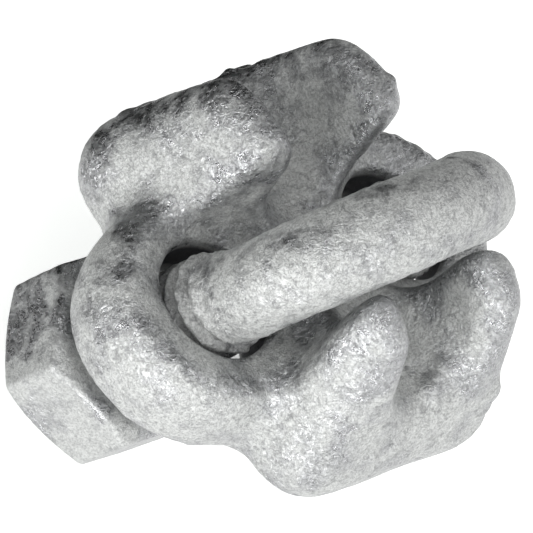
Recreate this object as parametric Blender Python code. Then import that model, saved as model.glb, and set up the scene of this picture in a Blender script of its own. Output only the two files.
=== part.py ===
"""Forged wire rope clip: U-bolt, saddle and two heavy hex nuts, hot-dip galvanised.

Rest frame, in metres: the legs stand along Z with the bow up, the rope runs along Y, the
legs are at +X and -X, and the leg ends are on z = 0. The saddle is loose: it sits on the
nuts at an angle, as far as its bolt holes let it lean.
"""

import bpy
import bmesh
import numpy as np
from mathutils import Vector

MM = 0.001

# Driving dimensions, in millimetres.
LEG_SPACING = 19.05
SHANK_RADIUS = 3.42
THREAD_CREST = 3.95
THREAD_ROOT = 3.14
THREAD_PITCH = 1.411
THREAD_LENGTH = 22.6
THREAD_FADE = 2.2
END_FADE = 1.1
END_FACE_MARGIN = 0.12
BOW_HEIGHT = 25.0
LEG_CHAMFER = 0.75

NUT_FLATS = 14.29
NUT_BASE = 3.05
NUT_THICKNESS = 7.5
NUT_FACE_RADIUS = 6.75
NUT_CHAMFER_ANGLE = 30.0
NUT_CLEARANCE = 0.13
NUT_BORE_CHAMFER = 0.55
NUT_MOUTH = 0.25
NUT_FADE = 0.7
NUT_RIGHT_TURN = -64.0
NUT_LEFT_TURN = -41.0

SADDLE_LEAN = 14.7
SADDLE_SHIFT = 1.35
SADDLE_BASE = 13.4
HALF_LENGTH = 16.6
END_SKEW = 0.07
END_OFFSET = -0.25
HALF_WIDTH = 10.5
SADDLE_HEIGHT = 18.35
PARTING_HEIGHT = 3.7
END_DRAFT = 17.1
SIDE_DRAFT = 10.5
LOWER_DRAFT = 15.5
BOSS_RADIUS = 9.45
BOSS_HEIGHT = 8.3
BOSS_DRAFT = 10.0
HOLE_RADIUS = 4.68
HOLE_STRETCH = 1.08
HOLE_DRAFT = 8.5
DISH_DEPTH = 1.0
DISH_RADIUS = 6.6
WELL_TOP_RADIUS = 5.75
WELL_OFFSET = 1.1
WELL_TILT = 0.2
BOSS_BLEND = 3.0
WELL_BLEND = 1.6
GROOVE_RADIUS = 4.0
GROOVE_CENTRE = 12.9
GROOVE_OPENING = 3.0
CORNER_BLEND = 4.4
TOP_BLEND = 2.8
UNION_BLEND = 2.0
CUT_BLEND = 2.2
BASE_BLEND = 1.2
PARTING_BLEND = 0.8
HOLE_BLEND = 0.3
SADDLE_CELL = 1.12
GRID_HALF_X = 20.5
GRID_HALF_Y = 18.5
GRID_BOTTOM = -1.45
GRID_TOP = 20.0
RELAX_ROUNDS = 4

COLUMNS = 24
BOW_STEPS = 26


def clear_scene():
    for obj in list(bpy.data.objects):
        bpy.data.objects.remove(obj, do_unlink=True)


def zinc(name, colour, roughness):
    material = bpy.data.materials.new(name)
    material.use_nodes = True
    shader = material.node_tree.nodes["Principled BSDF"]
    shader.inputs["Base Color"].default_value = (*colour, 1.0)
    shader.inputs["Metallic"].default_value = 0.85
    shader.inputs["Roughness"].default_value = roughness
    return material


def add_solid(name, points, faces, material, origin=(0.0, 0.0, 0.0), sharp_angle=40.0):
    """One closed mesh object. Points are in millimetres and origin is the joint's place."""
    mesh = bpy.data.meshes.new(name)
    local = (np.asarray(points, float) - np.asarray(origin, float)) * MM
    mesh.from_pydata(local.tolist(), [], [tuple(int(i) for i in face) for face in faces])
    work = bmesh.new()
    work.from_mesh(mesh)
    bmesh.ops.remove_doubles(work, verts=work.verts, dist=2e-6)
    bmesh.ops.dissolve_degenerate(work, edges=work.edges, dist=2e-6)
    bmesh.ops.recalc_face_normals(work, faces=work.faces)
    limit = np.radians(sharp_angle)
    for edge in work.edges:
        edge.smooth = bool(edge.calc_face_angle(0.0) < limit)
    for face in work.faces:
        face.smooth = True
    work.to_mesh(mesh)
    work.free()
    mesh.materials.append(material)
    obj = bpy.data.objects.new(name, mesh)
    obj.location = Vector(origin) * MM
    bpy.context.scene.collection.objects.link(obj)
    return obj


# ---- Threads -------------------------------------------------------------------------


def thread_rows(angle, low, high, crest, root, fade_low, fade_high, plain):
    """Radius and height of every point of a right-hand thread down one column.

    A turn has four rows, two on the crest and two at the root. Rows past either end are
    held at that end, where they fall on one another and are merged. Within fade_low and
    fade_high of its ends the thread runs out to the plain radius.
    """
    turns = int(np.ceil((high - low) / THREAD_PITCH)) + 4
    start = np.floor(low / THREAD_PITCH) - 2
    rows = []
    for turn in range(turns):
        for share, radius in ((0.16, root), (0.42, crest), (0.58, crest), (0.84, root)):
            height = (start + turn + share + angle / (2 * np.pi)) * THREAD_PITCH
            held = min(max(height, low), high)
            amount = 1.0
            if fade_low > 0:
                amount = min(amount, (held - low) / fade_low)
            if fade_high > 0:
                amount = min(amount, (high - held) / fade_high)
            rows.append((plain + (radius - plain) * max(amount, 0.0), held))
    return rows


def sweep(lines, closed_rings=False):
    """Points and quads between lines of points. The last line falls on the first, one
    thread turn further on, and their points are merged when the mesh is made."""
    lines = np.array(lines)
    line_count, ring_count = lines.shape[:2]
    faces = []
    for line in range(line_count - 1):
        for ring in range(ring_count if closed_rings else ring_count - 1):
            after = (ring + 1) % ring_count
            here = line * ring_count
            beside = here + ring_count
            faces.append((here + ring, beside + ring, beside + after, here + after))
    return lines.reshape(-1, 3), faces


# ---- U-bolt --------------------------------------------------------------------------


def u_bolt_column(column):
    """One line of points along the bar, from the +X leg's end over the bow to the -X end."""
    theta = 2 * np.pi * column / COLUMNS
    across = np.cos(theta)
    along = np.sin(theta)
    half = LEG_SPACING / 2
    end_low = LEG_CHAMFER
    points = []

    def right(radius, height):
        points.append((half + radius * across, radius * along, height))

    def left(radius, height):
        points.append((-half - radius * across, radius * along, height))

    right_angle = theta
    left_angle = np.pi - theta
    flat = THREAD_ROOT - END_FACE_MARGIN
    right(flat, 0.0)
    rows = thread_rows(
        right_angle,
        end_low,
        THREAD_LENGTH,
        THREAD_CREST,
        THREAD_ROOT,
        END_FADE,
        THREAD_FADE,
        SHANK_RADIUS,
    )
    for radius, height in rows:
        right(radius, height)
    for step in range(BOW_STEPS + 1):
        angle = np.pi * step / BOW_STEPS
        reach = half + SHANK_RADIUS * across
        points.append(
            (
                reach * np.cos(angle),
                SHANK_RADIUS * along,
                BOW_HEIGHT + reach * np.sin(angle),
            )
        )
    rows = thread_rows(
        left_angle,
        end_low,
        THREAD_LENGTH,
        THREAD_CREST,
        THREAD_ROOT,
        END_FADE,
        THREAD_FADE,
        SHANK_RADIUS,
    )
    for radius, height in reversed(rows):
        left(radius, height)
    left(flat, 0.0)
    return points


def make_u_bolt(material):
    lines = [u_bolt_column(column) for column in range(COLUMNS + 1)]
    points, faces = sweep(lines)
    rings = len(lines[0])
    faces.append(tuple(column * rings for column in range(COLUMNS)))
    faces.append(tuple((column + 1) * rings - 1 for column in range(COLUMNS)))
    return add_solid("u_bolt", points, faces, material, sharp_angle=50.0)


# ---- Nut -----------------------------------------------------------------------------


def nut_column(centre_x, turn, column):
    """The closed outline of the nut in one direction: up the outside and down the thread."""
    theta = turn + 2 * np.pi * column / COLUMNS
    past_corner = (2 * np.pi * column / COLUMNS + 1e-9) % (np.pi / 3)
    outside = NUT_FLATS / 2 / np.cos(past_corner - np.pi / 6)
    low = NUT_BASE
    high = NUT_BASE + NUT_THICKNESS
    fall = (outside - NUT_FACE_RADIUS) * np.tan(np.radians(NUT_CHAMFER_ANGLE))
    crest = THREAD_CREST + NUT_CLEARANCE
    root = THREAD_ROOT + NUT_CLEARANCE
    mouth = crest + NUT_MOUTH
    outline = [
        (mouth, low),
        (NUT_FACE_RADIUS, low),
        (outside, low + fall),
        (outside, high - fall),
        (NUT_FACE_RADIUS, high),
        (mouth, high),
    ]
    rows = thread_rows(
        theta,
        low + NUT_BORE_CHAMFER,
        high - NUT_BORE_CHAMFER,
        crest,
        root,
        NUT_FADE,
        NUT_FADE,
        crest,
    )
    outline.extend(reversed(rows))
    return [
        (centre_x + radius * np.cos(theta), radius * np.sin(theta), height)
        for radius, height in outline
    ]


def make_nut(name, centre_x, turn, material):
    turn = np.radians(turn)
    lines = [nut_column(centre_x, turn, column) for column in range(COLUMNS + 1)]
    points, faces = sweep(lines, closed_rings=True)
    return add_solid(name, points, faces, material, (centre_x, 0.0, NUT_BASE), 24.0)


# ---- Saddle --------------------------------------------------------------------------


def smooth_max(first, second, blend):
    share = np.clip(0.5 + 0.5 * (first - second) / blend, 0.0, 1.0)
    return second + (first - second) * share + blend * share * (1.0 - share)


def smooth_min(first, second, blend):
    return -smooth_max(-first, -second, blend)


def drafted(distance, half, z, upper, lower):
    """A wall that leans in above and below the die's parting line."""
    up = np.radians(upper)
    down = np.radians(lower)
    above = (distance - half) * np.cos(up) + (z - PARTING_HEIGHT) * np.sin(up)
    below = (distance - half) * np.cos(down) - (z - PARTING_HEIGHT) * np.sin(down)
    return smooth_max(above, below, PARTING_BLEND)


def saddle_field(x, y, z):
    """Negative inside the forging. z = 0 is the face that the nuts bear on."""
    side_x = np.abs(x)
    skewed = np.abs(y - END_OFFSET) + np.where(y > 0, END_SKEW * x, 0.0)
    ends = drafted(skewed, HALF_LENGTH, z, END_DRAFT, LOWER_DRAFT)
    sides = drafted(side_x, HALF_WIDTH, z, SIDE_DRAFT, LOWER_DRAFT)
    body = smooth_max(ends, sides, CORNER_BLEND)
    body = smooth_max(body, z - SADDLE_HEIGHT, TOP_BLEND)
    body = smooth_max(body, -z, BASE_BLEND)

    reach = np.hypot(side_x - LEG_SPACING / 2, y)
    boss = drafted(reach, BOSS_RADIUS, z, BOSS_DRAFT, LOWER_DRAFT)
    boss = smooth_max(boss, z - BOSS_HEIGHT, BOSS_BLEND)
    boss = smooth_max(boss, -z, BASE_BLEND)
    body = smooth_min(body, boss, UNION_BLEND)

    opening = np.radians(GROOVE_OPENING)
    rise = z - GROOVE_CENTRE
    walls = side_x * np.cos(opening) - rise * np.sin(opening) - GROOVE_RADIUS
    floor = np.hypot(x, rise) - GROOVE_RADIUS
    groove = np.where(rise > 0, walls, floor)
    body = smooth_max(body, -groove, CUT_BLEND)

    dish_angle = np.arctan2(DISH_RADIUS - HOLE_RADIUS, DISH_DEPTH)
    wall_angle = np.arctan2(WELL_TOP_RADIUS - DISH_RADIUS, SADDLE_HEIGHT - BOSS_HEIGHT)
    rim = BOSS_HEIGHT - DISH_DEPTH
    oval = np.hypot((side_x - LEG_SPACING / 2) * HOLE_STRETCH, y)
    dish = (oval - HOLE_RADIUS) * np.cos(dish_angle) - (z - rim) * np.sin(dish_angle)
    inward = WELL_TILT * np.maximum(z - BOSS_HEIGHT, 0.0)
    off_centre = np.hypot(side_x - LEG_SPACING / 2 + inward, y - WELL_OFFSET)
    wall = (off_centre - DISH_RADIUS) * np.cos(wall_angle)
    wall = wall - (z - BOSS_HEIGHT) * np.sin(wall_angle)
    well = smooth_max(dish, wall, WELL_BLEND)
    taper = np.radians(HOLE_DRAFT)
    hole = (oval - HOLE_RADIUS) * np.cos(taper) - (rim - z) * np.sin(taper)
    well = smooth_min(well, hole, HOLE_BLEND)
    return smooth_max(body, -well, CUT_BLEND)


def field_slope(points, step=0.02):
    slope = np.zeros_like(points)
    for axis in range(3):
        offset = np.zeros(3)
        offset[axis] = step
        ahead = saddle_field(*(points + offset).T)
        behind = saddle_field(*(points - offset).T)
        slope[:, axis] = (ahead - behind) / (2 * step)
    return slope


def onto_surface(points, rounds):
    for _ in range(rounds):
        slope = field_slope(points)
        size = np.maximum((slope**2).sum(axis=1), 0.2)
        move = (saddle_field(*points.T) / size)[:, None] * slope
        length = np.linalg.norm(move, axis=1, keepdims=True)
        move *= np.minimum(1.0, 0.5 * SADDLE_CELL / np.maximum(length, 1e-9))
        points = points - move
    return points


def surface_points(low, high, cell):
    """Quads over the field's zero surface: one point for each grid cell that it crosses."""
    counts = [int(np.ceil((high[i] - low[i]) / cell)) + 1 for i in range(3)]
    axes = [low[i] + cell * np.arange(counts[i]) for i in range(3)]
    grid = np.meshgrid(*axes, indexing="ij")
    field = saddle_field(*grid)
    inside = field < 0
    total = np.zeros([count - 1 for count in counts] + [3])
    hits = np.zeros([count - 1 for count in counts])
    for axis in range(3):
        near = [slice(None)] * 3
        far = [slice(None)] * 3
        near[axis] = slice(0, -1)
        far[axis] = slice(1, None)
        first = field[tuple(near)]
        second = field[tuple(far)]
        crossed = (first < 0) != (second < 0)
        share = np.where(crossed, first / np.where(crossed, first - second, 1.0), 0.0)
        place = np.stack([part[tuple(near)] for part in grid], axis=-1)
        place[..., axis] += share * cell
        others = [i for i in range(3) if i != axis]
        for shift_a in (0, 1):
            for shift_b in (0, 1):
                take = [slice(None)] * 3
                for other, shift in zip(others, (shift_a, shift_b)):
                    take[other] = slice(1, None) if shift else slice(0, -1)
                marked = crossed[tuple(take)]
                total += np.where(marked[..., None], place[tuple(take)], 0.0)
                hits += marked
    active = hits > 0
    number = -np.ones(active.shape, int)
    number[active] = np.arange(active.sum())
    points = total[active] / hits[active][:, None]
    quads = []
    for axis in range(3):
        near = [slice(None)] * 3
        far = [slice(None)] * 3
        near[axis] = slice(0, -1)
        far[axis] = slice(1, None)
        first = inside[tuple(near)]
        edges = np.argwhere(first != inside[tuple(far)])
        side_a, side_b = ((1, 2), (2, 0), (0, 1))[axis]
        corners = []
        for back_a, back_b in ((1, 1), (0, 1), (0, 0), (1, 0)):
            cells = edges.copy()
            cells[:, side_a] -= back_a
            cells[:, side_b] -= back_b
            corners.append(number[cells[:, 0], cells[:, 1], cells[:, 2]])
        quad = np.stack(corners, axis=1)
        outward = first[edges[:, 0], edges[:, 1], edges[:, 2]]
        quad[~outward] = quad[~outward][:, ::-1]
        quads.append(quad)
    return points, np.concatenate(quads)


def relaxed(points, quads, rounds):
    """Evens out the quads, and puts every point back on the surface after each round."""
    ends = np.concatenate([quads[:, [i, (i + 1) % 4]] for i in range(4)])
    for _ in range(rounds):
        total = np.zeros_like(points)
        count = np.zeros(len(points))
        for a, b in ((0, 1), (1, 0)):
            np.add.at(total, ends[:, a], points[ends[:, b]])
            np.add.at(count, ends[:, a], 1)
        points = points + 0.5 * (total / count[:, None] - points)
        points = onto_surface(points, 3)
    return onto_surface(points, 3)


def make_saddle(material):
    cell = SADDLE_CELL
    span_x = cell * (np.ceil(GRID_HALF_X / cell) + 0.5)
    span_y = cell * (np.ceil(GRID_HALF_Y / cell) + 0.5)
    low = (-span_x, -span_y, GRID_BOTTOM)
    high = (span_x, span_y, GRID_TOP)
    points, quads = surface_points(low, high, cell)
    points = relaxed(points, quads, RELAX_ROUNDS)
    lean = np.radians(SADDLE_LEAN)
    turned = points.copy()
    turned[:, 1] = points[:, 1] * np.cos(lean) - points[:, 2] * np.sin(lean) + SADDLE_SHIFT
    turned[:, 2] = points[:, 1] * np.sin(lean) + points[:, 2] * np.cos(lean) + SADDLE_BASE
    origin = (0.0, SADDLE_SHIFT, SADDLE_BASE)
    return add_solid("saddle", turned, quads, material, origin, 60.0)


def main():
    clear_scene()
    make_u_bolt(zinc("zinc_u_bolt", (0.56, 0.57, 0.58), 0.42))
    make_saddle(zinc("zinc_saddle", (0.60, 0.61, 0.62), 0.48))
    half = LEG_SPACING / 2
    make_nut("nut_right", half, NUT_RIGHT_TURN, zinc("zinc_nut_right", (0.6, 0.6, 0.6), 0.4))
    make_nut("nut_left", -half, NUT_LEFT_TURN, zinc("zinc_nut_left", (0.6, 0.6, 0.6), 0.4))


main()
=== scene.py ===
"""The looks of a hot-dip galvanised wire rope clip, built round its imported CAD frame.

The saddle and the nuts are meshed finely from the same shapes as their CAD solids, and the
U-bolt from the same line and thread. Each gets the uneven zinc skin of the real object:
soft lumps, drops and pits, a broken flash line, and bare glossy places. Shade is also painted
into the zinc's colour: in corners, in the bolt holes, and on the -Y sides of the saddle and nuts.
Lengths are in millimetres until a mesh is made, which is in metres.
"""

import bpy
import numpy as np
from mathutils import Matrix, Vector


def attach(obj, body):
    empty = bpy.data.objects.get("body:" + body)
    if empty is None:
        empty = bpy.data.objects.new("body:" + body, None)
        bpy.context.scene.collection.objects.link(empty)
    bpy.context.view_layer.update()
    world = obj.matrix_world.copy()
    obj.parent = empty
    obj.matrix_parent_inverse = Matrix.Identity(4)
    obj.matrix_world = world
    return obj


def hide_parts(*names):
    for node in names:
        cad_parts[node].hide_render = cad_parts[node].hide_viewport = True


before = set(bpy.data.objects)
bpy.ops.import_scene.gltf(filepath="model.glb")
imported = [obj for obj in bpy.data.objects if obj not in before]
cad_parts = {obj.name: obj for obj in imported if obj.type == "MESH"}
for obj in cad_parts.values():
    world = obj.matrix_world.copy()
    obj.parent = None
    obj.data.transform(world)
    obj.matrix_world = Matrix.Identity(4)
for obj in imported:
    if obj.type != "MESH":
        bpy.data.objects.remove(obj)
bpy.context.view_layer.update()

MM = 0.001

# ---- Sizes, as in the CAD source, in millimetres and degrees ---------------------------

LEG_SPACING = 19.05
SHANK_RADIUS = 3.42
THREAD_CREST = 3.95
THREAD_ROOT = 3.14
THREAD_PITCH = 1.411
THREAD_LENGTH = 22.6
THREAD_FADE = 2.2
BOW_HEIGHT = 25.0
LEG_CHAMFER = 0.75
LEG_END_TAPER = 1.4

NUT_FLATS = 14.29
NUT_BASE = 3.05
NUT_THICKNESS = 7.5
NUT_FACE_RADIUS = 6.75
NUT_CHAMFER_ANGLE = 30.0
NUT_CLEARANCE = 0.13
NUT_MOUTH = 0.3
NUT_CORNER_BLEND = 0.35
NUT_FACE_BLEND = 0.3
NUT_BORE_BLEND = 0.12
NUT_RIGHT_TURN = -64.0
NUT_LEFT_TURN = -41.0

SADDLE_LEAN = 14.7
SADDLE_SHIFT = 1.35
SADDLE_BASE = 13.4
HALF_LENGTH = 16.6
END_SKEW = 0.07
END_OFFSET = -0.25
HALF_WIDTH = 10.5
SADDLE_HEIGHT = 18.35
PARTING_HEIGHT = 3.7
END_DRAFT = 17.1
SIDE_DRAFT = 10.5
LOWER_DRAFT = 15.5
BOSS_RADIUS = 9.45
BOSS_HEIGHT = 8.3
BOSS_DRAFT = 10.0
HOLE_RADIUS = 4.68
HOLE_STRETCH = 1.08
HOLE_DRAFT = 8.5
DISH_DEPTH = 1.0
DISH_RADIUS = 6.6
WELL_TOP_RADIUS = 5.75
WELL_OFFSET = 1.1
WELL_TILT = 0.2
BOSS_BLEND = 3.0
WELL_BLEND = 1.6
GROOVE_RADIUS = 4.0
GROOVE_CENTRE = 12.9
GROOVE_OPENING = 3.0
CORNER_BLEND = 4.4
TOP_BLEND = 2.8
UNION_BLEND = 2.0
CUT_BLEND = 2.2
BASE_BLEND = 1.2
PARTING_BLEND = 0.8
HOLE_BLEND = 0.3

# How finely the visible pieces are meshed.
SADDLE_CELL = 0.25
NUT_CELL = 0.22
BAR_COLUMNS = 128
BAR_STEP = 0.16


# ---- Noise -----------------------------------------------------------------------------

NOISE_TABLE = 32


def lattice_noise(points, size, seed):
    """Smooth noise from -1 to 1 whose features are about size millimetres across."""
    draw = np.random.default_rng(seed)
    table = draw.uniform(-1.0, 1.0, (NOISE_TABLE, NOISE_TABLE, NOISE_TABLE))
    turn, _ = np.linalg.qr(draw.normal(size=(3, 3)))
    place = points @ turn / size + 500.0
    base = np.floor(place).astype(int)
    part = place - base
    part = part * part * (3.0 - 2.0 * part)
    total = np.zeros(len(points))
    for corner in range(8):
        offset = np.array([(corner >> axis) & 1 for axis in range(3)])
        weight = np.prod(np.where(offset, part, 1.0 - part), axis=1)
        index = (base + offset) % NOISE_TABLE
        total += weight * table[index[:, 0], index[:, 1], index[:, 2]]
    return total


def fractal(points, size, seed, octaves):
    total = np.zeros(len(points))
    for octave in range(octaves):
        total += lattice_noise(points, size * 0.53**octave, seed + octave) * 0.6**octave
    return total


def zinc_skin(points, seed):
    """Height of the zinc over the steel: slow unevenness, small lumps and grain."""
    slow = 0.11 * lattice_noise(points, 4.2, seed)
    lumps = 0.08 * np.maximum(fractal(points, 1.7, seed + 10, 2), 0.0) ** 1.5
    worms = 1.0 - np.abs(fractal(points, 0.75, seed + 20, 2)) * 2.2
    worms = 0.022 * np.maximum(worms, 0.0)
    grain = 0.016 * fractal(points, 0.38, seed + 30, 2)
    return slow + lumps + worms + grain


# ---- Meshes ----------------------------------------------------------------------------


def smooth_max(first, second, blend):
    share = np.clip(0.5 + 0.5 * (first - second) / blend, 0.0, 1.0)
    return second + (first - second) * share + blend * share * (1.0 - share)


def smooth_min(first, second, blend):
    return -smooth_max(-first, -second, blend)


def field_slope(field, points, step=0.02):
    slope = np.zeros_like(points)
    for axis in range(3):
        offset = np.zeros(3)
        offset[axis] = step
        slope[:, axis] = field(*(points + offset).T) - field(*(points - offset).T)
    return slope / (2.0 * step)


def onto_surface(field, points, cell, rounds):
    for _ in range(rounds):
        slope = field_slope(field, points)
        size = np.maximum((slope**2).sum(axis=1), 0.2)
        move = (field(*points.T) / size)[:, None] * slope
        length = np.linalg.norm(move, axis=1, keepdims=True)
        points = points - move * np.minimum(1.0, 0.5 * cell / np.maximum(length, 1e-9))
    return points


def neighbours_mean(points, quads):
    ends = np.concatenate([quads[:, [i, (i + 1) % 4]] for i in range(4)])
    ends = np.concatenate([ends, ends[:, ::-1]])
    count = np.bincount(ends[:, 0], minlength=len(points))
    total = [
        np.bincount(ends[:, 0], weights=points[ends[:, 1], axis], minlength=len(points))
        for axis in range(3)
    ]
    return np.stack(total, axis=1) / count[:, None]


def surface_net(field, low, high, cell):
    """Quads over the field's zero surface: one point for each grid cell that it crosses."""
    counts = [int(np.ceil((high[i] - low[i]) / cell)) + 1 for i in range(3)]
    axes = [low[i] + cell * np.arange(counts[i]) for i in range(3)]
    grid = np.meshgrid(*axes, indexing="ij")
    value = field(*grid)
    inside = value < 0
    total = np.zeros([count - 1 for count in counts] + [3])
    hits = np.zeros([count - 1 for count in counts])
    for axis in range(3):
        near = [slice(None)] * 3
        far = [slice(None)] * 3
        near[axis] = slice(0, -1)
        far[axis] = slice(1, None)
        first = value[tuple(near)]
        second = value[tuple(far)]
        crossed = (first < 0) != (second < 0)
        share = np.where(crossed, first / np.where(crossed, first - second, 1.0), 0.0)
        place = np.stack([part[tuple(near)] for part in grid], axis=-1)
        place[..., axis] += share * cell
        others = [i for i in range(3) if i != axis]
        for shift_a in (0, 1):
            for shift_b in (0, 1):
                take = [slice(None)] * 3
                for other, shift in zip(others, (shift_a, shift_b)):
                    take[other] = slice(1, None) if shift else slice(0, -1)
                marked = crossed[tuple(take)]
                total += np.where(marked[..., None], place[tuple(take)], 0.0)
                hits += marked
    active = hits > 0
    number = -np.ones(active.shape, int)
    number[active] = np.arange(active.sum())
    points = total[active] / hits[active][:, None]
    quads = []
    for axis in range(3):
        near = [slice(None)] * 3
        far = [slice(None)] * 3
        near[axis] = slice(0, -1)
        far[axis] = slice(1, None)
        first = inside[tuple(near)]
        edges = np.argwhere(first != inside[tuple(far)])
        side_a, side_b = ((1, 2), (2, 0), (0, 1))[axis]
        corners = []
        for back_a, back_b in ((1, 1), (0, 1), (0, 0), (1, 0)):
            cells = edges.copy()
            cells[:, side_a] -= back_a
            cells[:, side_b] -= back_b
            corners.append(number[cells[:, 0], cells[:, 1], cells[:, 2]])
        quad = np.stack(corners, axis=1)
        outward = first[edges[:, 0], edges[:, 1], edges[:, 2]]
        quad[~outward] = quad[~outward][:, ::-1]
        quads.append(quad)
    return points, np.concatenate(quads)


def meshed(field, low, high, cell):
    points, quads = surface_net(field, low, high, cell)
    for _ in range(2):
        points = points + 0.5 * (neighbours_mean(points, quads) - points)
        points = onto_surface(field, points, cell, 2)
    return points, quads


def normals_of(field, points):
    slope = field_slope(field, points, 0.06)
    return slope / np.maximum(np.linalg.norm(slope, axis=1, keepdims=True), 1e-6)


def painted_shade(field, points, normals):
    """How far the surface is closed in, from 0 in the open to 1 in a tight corner: the amount of
    shade painted into the zinc's colour.
    """
    total = np.zeros(len(points))
    for distance in (0.6, 1.5, 3.5, 7.0):
        seen = field(*(points + normals * distance).T)
        total += np.clip(1.0 - seen / distance, 0.0, 1.5) / 4.0
    return np.clip(total, 0.0, 1.0)


def edge_wear(field, points, normals):
    """How sharply the surface turns outward, from 0 on a flat to 1 on an edge."""
    depth = 1.3
    inside = field(*(points - normals * depth).T)
    return np.clip(1.0 + inside / depth, 0.0, 1.0)


def make_piece(name, points, faces, material, body, node, attributes):
    mesh = bpy.data.meshes.new(name)
    mesh.from_pydata((points * MM).tolist(), [], faces)
    mesh.update()
    mesh.shade_smooth()
    for key, values in attributes.items():
        layer = mesh.attributes.new(key, "FLOAT", "POINT")
        layer.data.foreach_set("value", values.astype(np.float32))
    mesh.materials.append(material)
    piece = bpy.data.objects.new(name, mesh)
    bpy.context.scene.collection.objects.link(piece)
    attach(piece, body)
    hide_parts(node)
    return piece


# ---- Saddle ----------------------------------------------------------------------------


def drafted(distance, half, z, upper, lower):
    """A wall that leans in above and below the die's parting line."""
    up = np.radians(upper)
    down = np.radians(lower)
    above = (distance - half) * np.cos(up) + (z - PARTING_HEIGHT) * np.sin(up)
    below = (distance - half) * np.cos(down) - (z - PARTING_HEIGHT) * np.sin(down)
    return smooth_max(above, below, PARTING_BLEND)


def saddle_field(x, y, z):
    """Negative inside the forging. z = 0 is the face that the nuts bear on."""
    side_x = np.abs(x)
    skewed = np.abs(y - END_OFFSET) + np.where(y > 0, END_SKEW * x, 0.0)
    ends = drafted(skewed, HALF_LENGTH, z, END_DRAFT, LOWER_DRAFT)
    sides = drafted(side_x, HALF_WIDTH, z, SIDE_DRAFT, LOWER_DRAFT)
    body = smooth_max(ends, sides, CORNER_BLEND)
    body = smooth_max(body, z - SADDLE_HEIGHT, TOP_BLEND)
    body = smooth_max(body, -z, BASE_BLEND)

    reach = np.hypot(side_x - LEG_SPACING / 2, y)
    boss = drafted(reach, BOSS_RADIUS, z, BOSS_DRAFT, LOWER_DRAFT)
    boss = smooth_max(boss, z - BOSS_HEIGHT, BOSS_BLEND)
    boss = smooth_max(boss, -z, BASE_BLEND)
    body = smooth_min(body, boss, UNION_BLEND)

    opening = np.radians(GROOVE_OPENING)
    rise = z - GROOVE_CENTRE
    walls = side_x * np.cos(opening) - rise * np.sin(opening) - GROOVE_RADIUS
    floor = np.hypot(x, rise) - GROOVE_RADIUS
    groove = np.where(rise > 0, walls, floor)
    body = smooth_max(body, -groove, CUT_BLEND)

    dish_angle = np.arctan2(DISH_RADIUS - HOLE_RADIUS, DISH_DEPTH)
    wall_angle = np.arctan2(WELL_TOP_RADIUS - DISH_RADIUS, SADDLE_HEIGHT - BOSS_HEIGHT)
    rim = BOSS_HEIGHT - DISH_DEPTH
    oval = np.hypot((side_x - LEG_SPACING / 2) * HOLE_STRETCH, y)
    dish = (oval - HOLE_RADIUS) * np.cos(dish_angle) - (z - rim) * np.sin(dish_angle)
    inward = WELL_TILT * np.maximum(z - BOSS_HEIGHT, 0.0)
    off_centre = np.hypot(side_x - LEG_SPACING / 2 + inward, y - WELL_OFFSET)
    wall = (off_centre - DISH_RADIUS) * np.cos(wall_angle)
    wall = wall - (z - BOSS_HEIGHT) * np.sin(wall_angle)
    well = smooth_max(dish, wall, WELL_BLEND)
    taper = np.radians(HOLE_DRAFT)
    hole = (oval - HOLE_RADIUS) * np.cos(taper) - (rim - z) * np.sin(taper)
    well = smooth_min(well, hole, HOLE_BLEND)
    return smooth_max(body, -well, CUT_BLEND)


# Zinc that ran and set: place on the saddle, radius and height. A negative height is a pit.
ZINC_DROPS = (
    ((-1.4, 13.1, 9.1), 0.8, 0.60),
    ((-2.2, 12.8, 9.6), 0.6, 0.35),
    ((-3.1, 12.3, 10.0), 0.8, 0.50),
    ((4.3, 15.3, 6.3), 0.6, 0.45),
    ((2.3, 15.4, 6.6), 0.6, 0.45),
    ((-8.3, 15.0, 7.8), 1.1, 0.50),
    ((-3.0, -15.2, 8.1), 0.7, 0.50),
    ((-4.1, -14.3, 10.1), 0.6, 0.40),
    ((-7.2, -7.3, 17.9), 0.6, 0.40),
    ((-4.4, -12.3, 12.2), 0.5, -0.40),
    ((10.5, 8.4, 7.0), 0.5, -0.35),
    ((5.6, 6.5, 7.4), 0.6, -0.35),
)
FLASH_HEIGHT = 6.4


def reach_of(points):
    """Distance from the axis of the nearer bolt hole."""
    return np.hypot(np.abs(points[:, 0]) - LEG_SPACING / 2, points[:, 1])


def saddle_relief(points):
    """Height to add over the plain forging, in the saddle's own frame."""
    height = zinc_skin(points, 11)
    x, y, z = points.T
    reach = reach_of(points)
    for place, radius, rise in ZINC_DROPS:
        away = np.linalg.norm(points - np.array(place), axis=1)
        height += rise * np.exp(-((away / radius) ** 2))
    broken = np.clip(lattice_noise(points, 1.6, 71) + 0.25, 0.0, 1.0)
    outer = np.clip((np.abs(y) - 12.0) / 2.0, 0.0, 1.0)
    height += 0.32 * broken * outer * np.exp(-(((z - FLASH_HEIGHT) / 0.28) ** 2))
    ring_wall = np.clip((reach - DISH_RADIUS) / 0.8, 0.0, 1.0) * (z < 7.0)
    height += 0.05 * ring_wall * np.exp(-(((z - 4.6) / 0.2) ** 2))
    crest = np.exp(-(((reach - DISH_RADIUS - 0.9) / 0.9) ** 2)) * (z < BOSS_HEIGHT + 1.2)
    height += 0.12 * crest * fractal(points, 0.9, 91, 3)
    clear = np.clip((reach - HOLE_RADIUS - 0.2) / 1.2, 0.0, 1.0)
    return height * (0.25 + 0.75 * clear) - 0.05


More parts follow.
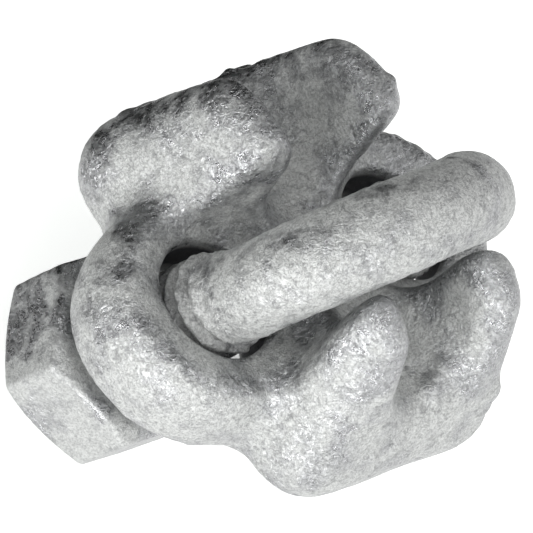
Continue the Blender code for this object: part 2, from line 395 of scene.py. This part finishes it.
def bare_zinc_and_shaded_end(points):
    """Where the zinc is marked bare, darker and glossier: the horn tips, the ring crests, and the
    -Y ends, where the darkening is painted shade.
    """
    reach = reach_of(points)
    # Painted shade: the -Y end is marked bare so that it comes out darker.
    end = np.clip((-points[:, 1] - 11.0) / 3.0, 0.0, 1.0)
    tip = np.clip((points[:, 2] - SADDLE_HEIGHT + 2.6) / 2.0, 0.0, 1.0)
    crest = np.exp(-(((reach - DISH_RADIUS - 0.9) / 1.1) ** 2))
    crest *= np.clip((points[:, 2] - BOSS_HEIGHT + 2.2) / 1.2, 0.0, 1.0)
    crest *= points[:, 2] < BOSS_HEIGHT + 1.0
    return 0.55 * np.maximum(np.maximum(end, tip), crest)


def make_saddle(material):
    low = (-20.5, -18.6, -0.9)
    high = (20.5, 18.6, 19.4)
    points, quads = meshed(saddle_field, low, high, SADDLE_CELL)
    normals = normals_of(saddle_field, points)
    painted_shade_amount = painted_shade(saddle_field, points, normals)
    worn_and_shaded = edge_wear(saddle_field, points, normals)
    points = points + normals * saddle_relief(points)[:, None]
    lean = np.radians(SADDLE_LEAN)
    turned = points.copy()
    turned[:, 1] = points[:, 1] * np.cos(lean) - points[:, 2] * np.sin(lean) + SADDLE_SHIFT
    turned[:, 2] = points[:, 1] * np.sin(lean) + points[:, 2] * np.cos(lean) + SADDLE_BASE
    # Painted shade inside the bolt holes, joined with the painted corner shade.
    hole_painted_shade = np.clip((HOLE_RADIUS + 1.1 - reach_of(points)) / 0.5, 0.0, 1.0)
    hole_painted_shade *= np.clip((BOSS_HEIGHT - DISH_DEPTH - 0.4 - points[:, 2]) / 0.8, 0.0, 1.0)
    # The wear mark takes real edge wear and the bare places, which hold the painted shade of the
    # -Y end.
    worn_and_shaded = np.maximum(worn_and_shaded, bare_zinc_and_shaded_end(points))
    marks = {"painted_shade": np.maximum(painted_shade_amount, hole_painted_shade), "wear_and_painted_shade": worn_and_shaded}
    name = "saddle_forging"
    return make_piece(
        name, turned, quads.tolist(), material, "saddle", "saddle", marks
    )


# ---- Threads and U-bolt ------------------------------------------------------------------


def thread_radius(angle, height, crest, root):
    """A right-hand thread with rounded, zinc-filled crests and roots."""
    phase = height / THREAD_PITCH - angle / (2.0 * np.pi) - 0.5
    away = np.abs(phase - np.round(phase))
    share = np.clip((0.34 - away) / 0.26, 0.0, 1.0)
    share = share * share * (3.0 - 2.0 * share)
    return root + (crest - root) * share


def leg_radius(angle, height):
    plain = SHANK_RADIUS
    cut = thread_radius(angle, height, THREAD_CREST - 0.03, THREAD_ROOT)
    start = np.clip((THREAD_LENGTH - height) / THREAD_FADE, 0.0, 1.0)
    end = np.clip(height / LEG_END_TAPER, 0.0, 1.0)
    radius = plain + (cut - plain) * start
    return radius - (1.0 - end) * LEG_CHAMFER


def make_u_bolt(material):
    half = LEG_SPACING / 2
    angles = 2.0 * np.pi * np.arange(BAR_COLUMNS) / BAR_COLUMNS
    straight = np.arange(0.0, BOW_HEIGHT, BAR_STEP)
    bend = np.linspace(0.0, np.pi, int(np.pi * half / BAR_STEP))
    rings = []
    outward = []
    threaded = []
    for height in straight:
        radius = leg_radius(angles, height)
        across = np.stack([np.cos(angles), np.sin(angles), np.zeros(BAR_COLUMNS)], axis=1)
        rings.append(across * radius[:, None] + np.array([half, 0.0, height]))
        outward.append(across)
        threaded.append(np.full(BAR_COLUMNS, height < THREAD_LENGTH))
    for turn in bend:
        spoke = np.array([np.cos(turn), 0.0, np.sin(turn)])
        across = np.outer(np.cos(angles), spoke) + np.outer(np.sin(angles), (0.0, 1.0, 0.0))
        centre = half * spoke + np.array([0.0, 0.0, BOW_HEIGHT])
        rings.append(across * SHANK_RADIUS + centre)
        outward.append(across)
        threaded.append(np.zeros(BAR_COLUMNS, bool))
    for height in straight[::-1]:
        radius = leg_radius(np.pi - angles, height)
        across = np.stack([-np.cos(angles), np.sin(angles), np.zeros(BAR_COLUMNS)], axis=1)
        rings.append(across * radius[:, None] + np.array([-half, 0.0, height]))
        outward.append(across)
        threaded.append(np.full(BAR_COLUMNS, height < THREAD_LENGTH))
    count = len(rings)
    points = np.concatenate(rings)
    outward = np.concatenate(outward)
    threaded = np.concatenate(threaded)

    in_nut = points[:, 2] < NUT_BASE + NUT_THICKNESS + 0.8
    skin = zinc_skin(points, 211) - 0.05
    in_saddle = points[:, 2] < THREAD_LENGTH + 1.0
    amount = np.where(in_nut, 0.12, np.where(in_saddle, 0.9, 1.0))
    fill = np.exp(-(((points[:, 2] - THREAD_LENGTH + 1.2) / 1.6) ** 2))
    lumps = 0.20 * fill * fractal(points, 0.8, 251, 3) * (points[:, 2] < BOW_HEIGHT)
    points = points + outward * (skin * amount + lumps)[:, None]
    points[:BAR_COLUMNS, 2] = 0.0
    points[-BAR_COLUMNS:, 2] = 0.0

    quads = []
    for ring in range(count - 1):
        here = ring * BAR_COLUMNS + np.arange(BAR_COLUMNS)
        beside = ring * BAR_COLUMNS + (np.arange(BAR_COLUMNS) + 1) % BAR_COLUMNS
        quads.append(np.stack([here, beside, beside + BAR_COLUMNS, here + BAR_COLUMNS], axis=1))
    quads = np.concatenate(quads)
    middle_right = len(points)
    caps = np.array([[half, 0.0, 0.0], [-half, 0.0, 0.0]])
    first = np.arange(BAR_COLUMNS)
    after = (first + 1) % BAR_COLUMNS
    last = (count - 1) * BAR_COLUMNS
    right_cap = np.stack([after, first, np.full(BAR_COLUMNS, middle_right)], axis=1)
    middle_left = np.full(BAR_COLUMNS, middle_right + 1)
    left_cap = np.stack([first + last, after + last, middle_left], axis=1)
    points = np.concatenate([points, caps])
    # Painted shade on the thread; 0.35 is where the material's shade range starts, so it darkens
    # nothing.
    thread_painted_shade = np.zeros(len(points))
    thread_painted_shade[: len(threaded)] = np.where(threaded, 0.35, 0.0)
    marks = {"painted_shade": thread_painted_shade, "wear_and_painted_shade": np.zeros(len(points))}
    faces = quads.tolist() + right_cap.tolist() + left_cap.tolist()
    name = "u_bolt_bar"
    return make_piece(name, points, faces, material, "u_bolt", "u_bolt", marks)


# ---- Nuts --------------------------------------------------------------------------------


def nut_shape(centre_x, turn):
    """The field of one nut, in the whole object's frame."""
    first_flat = np.radians(turn + 30.0)
    slope = np.radians(NUT_CHAMFER_ANGLE)

    def field(x, y, z):
        across = x - centre_x
        body = None
        for side in range(6):
            angle = first_flat + np.pi / 3 * side
            flat = across * np.cos(angle) + y * np.sin(angle) - NUT_FLATS / 2
            body = flat if body is None else smooth_max(body, flat, NUT_CORNER_BLEND)
        reach = np.hypot(across, y)
        above = z - NUT_BASE - NUT_THICKNESS
        below = NUT_BASE - z
        for face in (above, below):
            chamfer = (reach - NUT_FACE_RADIUS) * np.sin(slope) + face * np.cos(slope)
            body = smooth_max(body, chamfer, NUT_FACE_BLEND)
            body = smooth_max(body, face, NUT_FACE_BLEND)
        angle = np.arctan2(y, across)
        crest = THREAD_CREST + NUT_CLEARANCE
        bore = thread_radius(angle, z, crest, THREAD_ROOT + NUT_CLEARANCE)
        mouth = crest + NUT_MOUTH + np.maximum(above, below)
        bore = np.maximum(bore, np.minimum(mouth, crest + NUT_MOUTH))
        return smooth_max(body, bore - reach, NUT_BORE_BLEND)

    return field


def make_nut(name, body, centre_x, turn, material, seed):
    field = nut_shape(centre_x, turn)
    reach = NUT_FLATS / 2 / np.cos(np.pi / 6) + 0.6
    low = (centre_x - reach, -reach, NUT_BASE - 0.6)
    high = (centre_x + reach, reach, NUT_BASE + NUT_THICKNESS + 0.6)
    points, quads = meshed(field, low, high, NUT_CELL)
    normals = normals_of(field, points)
    painted_shade_amount = painted_shade(field, points, normals)
    worn_and_shaded = edge_wear(field, points, normals)
    # Painted shade: the nut's -Y side is marked as worn so that its faces come out darker.
    worn_and_shaded = np.maximum(worn_and_shaded, 0.5 * np.clip((-points[:, 1] - 0.5) / 2.0, 0.0, 1.0))
    outside = np.clip((np.hypot(points[:, 0] - centre_x, points[:, 1]) - 4.8) / 0.6, 0.0, 1.0)
    relief = (zinc_skin(points, seed) * 0.45 - 0.03) * outside
    points = points + normals * relief[:, None]
    marks = {"painted_shade": painted_shade_amount, "wear_and_painted_shade": worn_and_shaded}
    return make_piece(name, points, quads.tolist(), material, body, body, marks)


# ---- Materials ---------------------------------------------------------------------------


class Shading:
    """Short ways to add and join the nodes of one material."""

    def __init__(self, name):
        self.material = bpy.data.materials.new(name)
        self.material.use_nodes = True
        self.tree = self.material.node_tree
        self.shader = self.tree.nodes["Principled BSDF"]
        self.place = self.add("ShaderNodeTexCoord").outputs["Object"]

    def add(self, kind, **settings):
        node = self.tree.nodes.new(kind)
        for key, value in settings.items():
            setattr(node, key, value)
        return node

    def put(self, value, socket):
        if isinstance(value, bpy.types.NodeSocket):
            self.tree.links.new(value, socket)
        else:
            socket.default_value = value

    def noise(self, size_mm, detail=2.0, roughness=0.5, distortion=0.0):
        node = self.add("ShaderNodeTexNoise")
        self.put(self.place, node.inputs["Vector"])
        node.inputs["Scale"].default_value = 1.0 / (size_mm * MM)
        node.inputs["Detail"].default_value = detail
        node.inputs["Roughness"].default_value = roughness
        node.inputs["Distortion"].default_value = distortion
        return node.outputs["Fac"]

    def cells(self, size_mm):
        node = self.add("ShaderNodeTexVoronoi")
        self.put(self.place, node.inputs["Vector"])
        node.inputs["Scale"].default_value = 1.0 / (size_mm * MM)
        split = self.add("ShaderNodeSeparateColor")
        self.put(node.outputs["Color"], split.inputs[0])
        return split.outputs[0]

    def span(self, value, low, high, to_low=0.0, to_high=1.0):
        node = self.add("ShaderNodeMapRange")
        self.put(value, node.inputs["Value"])
        for key, number in (
            ("From Min", low),
            ("From Max", high),
            ("To Min", to_low),
            ("To Max", to_high),
        ):
            node.inputs[key].default_value = number
        return node.outputs["Result"]

    def math(self, operation, first, second=0.0):
        node = self.add("ShaderNodeMath", operation=operation)
        self.put(first, node.inputs[0])
        self.put(second, node.inputs[1])
        return node.outputs[0]

    def mix(self, share, first, second):
        node = self.add("ShaderNodeMix", data_type="RGBA")
        self.put(share, node.inputs["Factor"])
        self.put(first, node.inputs["A"])
        self.put(second, node.inputs["B"])
        return node.outputs["Result"]

    def mark(self, name):
        return self.add("ShaderNodeAttribute", attribute_name=name).outputs["Fac"]

    def bump(self, height, strength, distance_mm, below=None):
        node = self.add("ShaderNodeBump")
        self.put(height, node.inputs["Height"])
        self.put(strength, node.inputs["Strength"])
        node.inputs["Distance"].default_value = distance_mm * MM
        if below is not None:
            self.put(below, node.inputs["Normal"])
        return node.outputs["Normal"]


def grey(level, blue=1.0):
    return (level * 0.985, level * 1.0, level * blue * 0.985, 1.0)


def zinc_material(name, light, bare_and_shaded_tone, dark, grain):
    """Galvanised zinc: pale matt crust with dark veins, and bare glossy patches on edges. Bare
    patches are darker, and on the -Y sides that darkening is painted shade; corners and holes get
    painted shade too.
    """
    made = Shading(name)
    # The wear mark holds real edge wear and painted shade on the -Y sides; the bare colour below
    # is darker and glossier.
    worn_and_shaded = made.span(made.mark("wear_and_painted_shade"), 0.1, 0.6, 0.0, 0.17)
    bare_and_shaded = made.span(made.math("ADD", made.noise(3.2, 5.0, 0.65, 0.3), worn_and_shaded), 0.49, 0.66)
    crackle = made.noise(0.55, 4.0, 0.7, 1.2)
    middle = made.math("ABSOLUTE", made.math("SUBTRACT", crackle, 0.5))
    veins = made.span(middle, 0.0, 0.045, 0.8, 0.0)
    fine = made.noise(0.2, 2.0, 0.7, 0.6)
    specks = made.span(made.noise(0.7, 3.0, 0.65, 0.6), 0.55, 0.66)
    spangle = made.cells(0.5)
    colour = made.mix(bare_and_shaded, grey(light), grey(bare_and_shaded_tone, 1.04))
    colour = made.mix(veins, colour, grey(dark, 1.02))
    colour = made.mix(made.math("MULTIPLY", specks, 0.6), colour, grey(dark * 0.8, 1.04))
    colour = made.mix(made.span(fine, 0.52, 0.70, 0.0, 0.6), colour, grey(min(light * 1.25, 0.95)))
    colour = made.mix(made.span(fine, 0.48, 0.30, 0.0, 0.6), colour, grey(dark * 0.9))
    # Painted shade: corners, recesses and bolt holes darken towards a near-black grey and turn
    # rougher.
    painted_shade_amount = made.span(made.mark("painted_shade"), 0.35, 1.0, 0.0, 0.96)
    colour = made.mix(painted_shade_amount, colour, grey(dark * 0.3, 1.1))
    made.put(colour, made.shader.inputs["Base Color"])
    made.put(made.span(bare_and_shaded, 0.0, 1.0, 0.55, 1.0), made.shader.inputs["Metallic"])
    rough = made.span(bare_and_shaded, 0.0, 1.0, 0.52, 0.28)
    rough = made.math("ADD", rough, made.span(spangle, 0.0, 1.0, -0.07, 0.07))
    rough = made.math("ADD", rough, made.span(painted_shade_amount, 0.0, 1.0, 0.0, 0.2))
    made.put(rough, made.shader.inputs["Roughness"])
    normal = made.bump(made.noise(1.3, 3.0, 0.6, 0.5), 0.6, 0.18)
    normal = made.bump(crackle, made.span(bare_and_shaded, 0.0, 1.0, 0.7 * grain, grain), 0.22, normal)
    normal = made.bump(fine, 0.7 * grain, 0.07, normal)
    made.put(normal, made.shader.inputs["Normal"])
    return made.material


def floor_material():
    made = Shading("pale_floor")
    colour = made.mix(made.noise(40.0, 2.0), grey(0.86), grey(0.88))
    made.put(colour, made.shader.inputs["Base Color"])
    made.shader.inputs["Roughness"].default_value = 0.9
    made.shader.inputs["Specular IOR Level"].default_value = 0.1
    made.put(colour, made.shader.inputs["Emission Color"])
    made.shader.inputs["Emission Strength"].default_value = 0.65
    return made.material


# ---- Studio ------------------------------------------------------------------------------

# The camera looks down on the near leg from the +X side, rolled so that the legs lean left.
VIEW_RIGHT = Vector((-0.6776, 0.3942, 0.6209))
VIEW_UP = Vector((-0.2834, -0.9190, 0.2741))
VIEW_BACK = Vector((0.6786, 0.0097, 0.7344))
VIEW_DISTANCE = 0.3644
FRAME_WIDTH = 0.0389
AIM_RIGHT = -0.00599
AIM_UP = -0.00123

# The flag's direction as the camera sees it (right, up, towards the camera), and its size.
FLAG_WAY = (-0.32, 0.84, -0.12)
FLAG_SPREAD = np.radians(64.0)
FLAG_REACH = 0.30
FLAG_RINGS = 10
FLAG_COLUMNS = 48

DARK_SIDE = (-0.42, -0.83, 0.36)


def make_camera():
    crown = Vector((0.0, 0.0, BOW_HEIGHT * MM))
    place = crown + VIEW_BACK * VIEW_DISTANCE
    aim = crown + VIEW_RIGHT * AIM_RIGHT + VIEW_UP * AIM_UP
    back = (place - aim).normalized()
    right = VIEW_UP.cross(back).normalized()
    up = back.cross(right)
    data = bpy.data.cameras.new("camera")
    data.sensor_width = 36.0
    data.lens = data.sensor_width * VIEW_DISTANCE / FRAME_WIDTH
    data.clip_start = 0.01
    camera = bpy.data.objects.new("camera", data)
    turn = Matrix((right, up, back)).transposed().to_4x4()
    camera.matrix_world = Matrix.Translation(place) @ turn
    bpy.context.scene.collection.objects.link(camera)
    bpy.context.scene.camera = camera


def soft_box(name, sideways, upward, backward, distance, size, power):
    """A square area light, placed by its direction from the object as the camera sees it."""
    way = VIEW_RIGHT * sideways + VIEW_UP * upward + VIEW_BACK * backward
    way.normalize()
    centre = Vector((0.0, 0.0, 0.02))
    data = bpy.data.lights.new(name, "AREA")
    data.shape = "SQUARE"
    data.size = size
    data.energy = power
    light = bpy.data.objects.new(name, data)
    light.location = centre + way * distance
    light.rotation_mode = "QUATERNION"
    light.rotation_quaternion = way.to_track_quat("Z", "Y")
    light.visible_camera = False
    bpy.context.scene.collection.objects.link(light)


def make_dark_flag():
    """A black dome over one side of the object, seen only in its reflections."""
    way = VIEW_RIGHT * FLAG_WAY[0] + VIEW_UP * FLAG_WAY[1] + VIEW_BACK * FLAG_WAY[2]
    way.normalize()
    turn = way.to_track_quat("Z", "Y")
    points = [way * FLAG_REACH]
    faces = []
    for ring in range(1, FLAG_RINGS + 1):
        angle = FLAG_SPREAD * ring / FLAG_RINGS
        for column in range(FLAG_COLUMNS):
            side = 2.0 * np.pi * column / FLAG_COLUMNS
            across = Vector((np.cos(side), np.sin(side), 0.0)) * np.sin(angle)
            points.append(turn @ (across + Vector((0.0, 0.0, np.cos(angle)))) * FLAG_REACH)
    for column in range(FLAG_COLUMNS):
        beside = (column + 1) % FLAG_COLUMNS
        faces.append((0, 1 + column, 1 + beside))
        for ring in range(FLAG_RINGS - 1):
            here = 1 + ring * FLAG_COLUMNS
            further = here + FLAG_COLUMNS
            faces.append((here + column, further + column, further + beside, here + beside))
    mesh = bpy.data.meshes.new("dark_flag")
    mesh.from_pydata(points, [], faces)
    made = Shading("black_cloth")
    made.shader.inputs["Base Color"].default_value = grey(0.02)
    made.shader.inputs["Roughness"].default_value = 1.0
    made.shader.inputs["Specular IOR Level"].default_value = 0.0
    mesh.materials.append(made.material)
    flag = bpy.data.objects.new("dark_flag", mesh)
    flag.location = (0.0, 0.0, 0.02)
    for kind in ("camera", "diffuse", "transmission", "volume_scatter", "shadow"):
        setattr(flag, "visible_" + kind, False)
    bpy.context.scene.collection.objects.link(flag)


def make_world():
    """White all round, a little dimmer on one side, above the object as it is seen."""
    world = bpy.data.worlds.new("studio")
    world.use_nodes = True
    tree = world.node_tree
    background = tree.nodes["Background"]
    direction = tree.nodes.new("ShaderNodeTexCoord")
    dot = tree.nodes.new("ShaderNodeVectorMath")
    dot.operation = "DOT_PRODUCT"
    dot.inputs[1].default_value = DARK_SIDE
    tree.links.new(direction.outputs["Generated"], dot.inputs[0])
    level = tree.nodes.new("ShaderNodeMapRange")
    level.interpolation_type = "SMOOTHSTEP"
    level.inputs["From Min"].default_value = 0.2
    level.inputs["From Max"].default_value = 0.75
    level.inputs["To Min"].default_value = 1.0
    level.inputs["To Max"].default_value = 0.60
    tree.links.new(dot.outputs["Value"], level.inputs["Value"])
    tree.links.new(level.outputs["Result"], background.inputs["Strength"])
    background.inputs["Color"].default_value = (1.0, 1.0, 1.0, 1.0)
    bpy.context.scene.world = world


def make_floor():
    size = 12.0
    mesh = bpy.data.meshes.new("floor")
    corners = [(-size, -size, 0.0), (size, -size, 0.0), (size, size, 0.0), (-size, size, 0.0)]
    mesh.from_pydata(corners, [], [(0, 1, 2, 3)])
    mesh.materials.append(floor_material())
    floor = bpy.data.objects.new("floor", mesh)
    floor.location = (0.0, 0.0, -0.00005)
    floor.visible_glossy = False
    bpy.context.scene.collection.objects.link(floor)


make_camera()
make_world()
make_floor()
make_dark_flag()
soft_box("key", -0.55, -0.60, 0.60, 0.6, 0.30, 3.0)
soft_box("fill", 0.45, -0.75, 0.45, 0.7, 0.40, 0.5)
bpy.context.scene.view_settings.view_transform = "Standard"

HALF_SPACING = LEG_SPACING / 2
make_saddle(zinc_material("zinc_forging", 0.66, 0.54, 0.30, 1.0))
make_u_bolt(zinc_material("zinc_bar", 0.66, 0.52, 0.30, 1.0))
nut_zinc = zinc_material("zinc_nut", 0.60, 0.50, 0.34, 0.6)
for side, place, turn, seed in (
    ("right", HALF_SPACING, NUT_RIGHT_TURN, 311),
    ("left", -HALF_SPACING, NUT_LEFT_TURN, 331),
):
    body = "nut_" + side
    make_nut(body + "_hex", body, place, turn, nut_zinc, seed)
